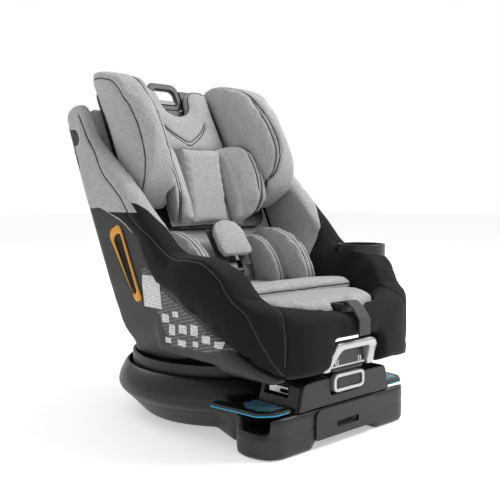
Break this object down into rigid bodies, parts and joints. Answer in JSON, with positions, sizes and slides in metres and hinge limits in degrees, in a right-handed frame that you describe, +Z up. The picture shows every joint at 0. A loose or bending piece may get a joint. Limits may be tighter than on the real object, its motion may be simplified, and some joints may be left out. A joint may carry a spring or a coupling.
{
  "type": "rotating convertible car seat",
  "caption": "Rotating convertible child car seat with reclining padded shell, sliding winged headrest, infant insert, harness buckle, cup holder and belt-latched base.",
  "frame": {"origin": "on the surface that the base stands on, at the turntable's axis", "axes": "+Z up, along the turntable's axis; the child faces -Y at rest; +X is the child's left, the cup holder's side"},
  "size_m": [0.445, 0.5288, 0.5945],
  "materials": {
    "black_plastic": "satin black moulded plastic",
    "rubber": "matt black rubber",
    "steel": "brushed steel",
    "silver": "silver satin finish",
    "label_lid": null,
    "blue_trim": "bright blue edge line",
    "orange_frame": "orange moulded frame",
    "red_button": "red press button",
    "webbing": "black woven webbing",
    "light_fabric": "light grey heather woven fabric",
    "charcoal_fabric": "charcoal woven fabric",
    "mesh_fabric": "dark spacer mesh"
  },
  "bodies": {
    "base": {"base_tray": "black_plastic", "base_bowl": "black_plastic", "rubber_pads": "rubber", "bearing_ring": "steel", "foot_cover": "black_plastic", "foot_panel": "black_plastic", "latch_tower": "black_plastic", "side_plate_right": "black_plastic", "side_plate_left": "black_plastic", "anchor_connector_right": "black_plastic", "anchor_connector_left": "black_plastic"},
    "lid_right": {"belt_lid_right": "label_lid", "belt_trim_right": "blue_trim"},
    "lid_left": {"belt_lid_left": "label_lid", "belt_trim_left": "blue_trim"},
    "recline_pull": {"recline_frame": "silver", "recline_paddle": "black_plastic"},
    "turntable": {"turntable_skirt": "black_plastic", "recline_saddle": "black_plastic", "recline_rails": "steel", "rotation_housing": "black_plastic", "hinge_pin": "steel"},
    "rotation_pull": {"rotation_handle": "silver"},
    "buckle_press": {"buckle_button": "red_button"},
    "adjuster": {"adjuster_lever": "steel"},
    "cup": {"cup_holder": "black_plastic"},
    "headrest": {"headrest_plate": "black_plastic", "headrest_pad": "light_fabric", "headrest_wing_left": "light_fabric", "headrest_wing_right": "light_fabric", "hugger_wing_left": "mesh_fabric", "hugger_wing_right": "mesh_fabric", "hugger_panel": "light_fabric", "headrest_handle": "black_plastic"},
    "headrest_squeeze": {"headrest_release": "black_plastic"},
    "seat": {"adjuster_bezel": "black_plastic", "adjuster_strap": "webbing", "back_pad": "light_fabric", "belt_frame_left": "orange_frame", "belt_frame_right": "orange_frame", "bolster_left": "light_fabric", "bolster_right": "light_fabric", "buckle": "black_plastic", "buckle_tongues": "steel", "chest_clip": "black_plastic", "chest_pad": "light_fabric", "front_pad": "charcoal_fabric", "insert_back": "light_fabric", "insert_bar": "light_fabric", "insert_inner_wing_left": "mesh_fabric", "insert_inner_wing_right": "mesh_fabric", "insert_outer_wing_left": "light_fabric", "insert_outer_wing_right": "light_fabric", "rear_panel": "black_plastic", "seat_cushion": "light_fabric", "seat_shell": "black_plastic", "shoulder_straps": "webbing", "side_cover_left": "charcoal_fabric", "side_cover_right": "charcoal_fabric"}
  },
  "joints": [
    {"name": "seat_turn", "type": "hinge", "parent": "base", "child": "turntable", "pos_m": [0, 0, 0.061], "axis": [0, 0, 1], "range_deg": [-180, 180]},
    {"name": "seat_recline", "type": "hinge", "parent": "turntable", "child": "seat", "pos_m": [0, 0, 0.48], "axis": [-1, 0, 0], "range_deg": [0, 15]},
    {"name": "headrest_height", "type": "slide", "parent": "seat", "child": "headrest", "axis": [0, 0.454, 0.891], "range_m": [0, 0.12]},
    {"name": "headrest_unlatch", "type": "slide", "parent": "headrest", "child": "headrest_squeeze", "axis": [0, 0.454, 0.891], "range_m": [0, 0.005], "stiffness_N_per_m": 400, "springref_m": -0.004},
    {"name": "rotation_release", "type": "hinge", "parent": "turntable", "child": "rotation_pull", "pos_m": [0, -0.277, 0.118], "axis": [1, 0, 0], "range_deg": [0, 15], "stiffness_Nm_per_rad": 1.2, "springref_deg": -20.05},
    {"name": "recline_release", "type": "slide", "parent": "base", "child": "recline_pull", "axis": [0, -1, 0], "range_m": [0, 0.008], "stiffness_N_per_m": 400, "springref_m": -0.004},
    {"name": "lid_right_open", "type": "hinge", "parent": "base", "child": "lid_right", "pos_m": [-0.114, -0.226, 0.0665], "axis": [0, 1, 0], "range_deg": [0, 35]},
    {"name": "lid_left_open", "type": "hinge", "parent": "base", "child": "lid_left", "pos_m": [0.114, -0.226, 0.0665], "axis": [0, -1, 0], "range_deg": [0, 35]},
    {"name": "buckle_button_press", "type": "slide", "parent": "seat", "child": "buckle_press", "axis": [0, 0.9676, 0.2526], "range_m": [0, 0.003], "stiffness_N_per_m": 300, "springref_m": -0.003},
    {"name": "adjuster_press", "type": "hinge", "parent": "seat", "child": "adjuster", "pos_m": [0, -0.2675, 0.20675], "axis": [1, 0, 0], "range_deg": [0, 15], "stiffness_Nm_per_rad": 0.2, "springref_deg": -20.05},
    {"name": "cup_lift", "type": "slide", "parent": "seat", "child": "cup", "axis": [0, 0, 1], "range_m": [0, 0.08]}
  ]
}
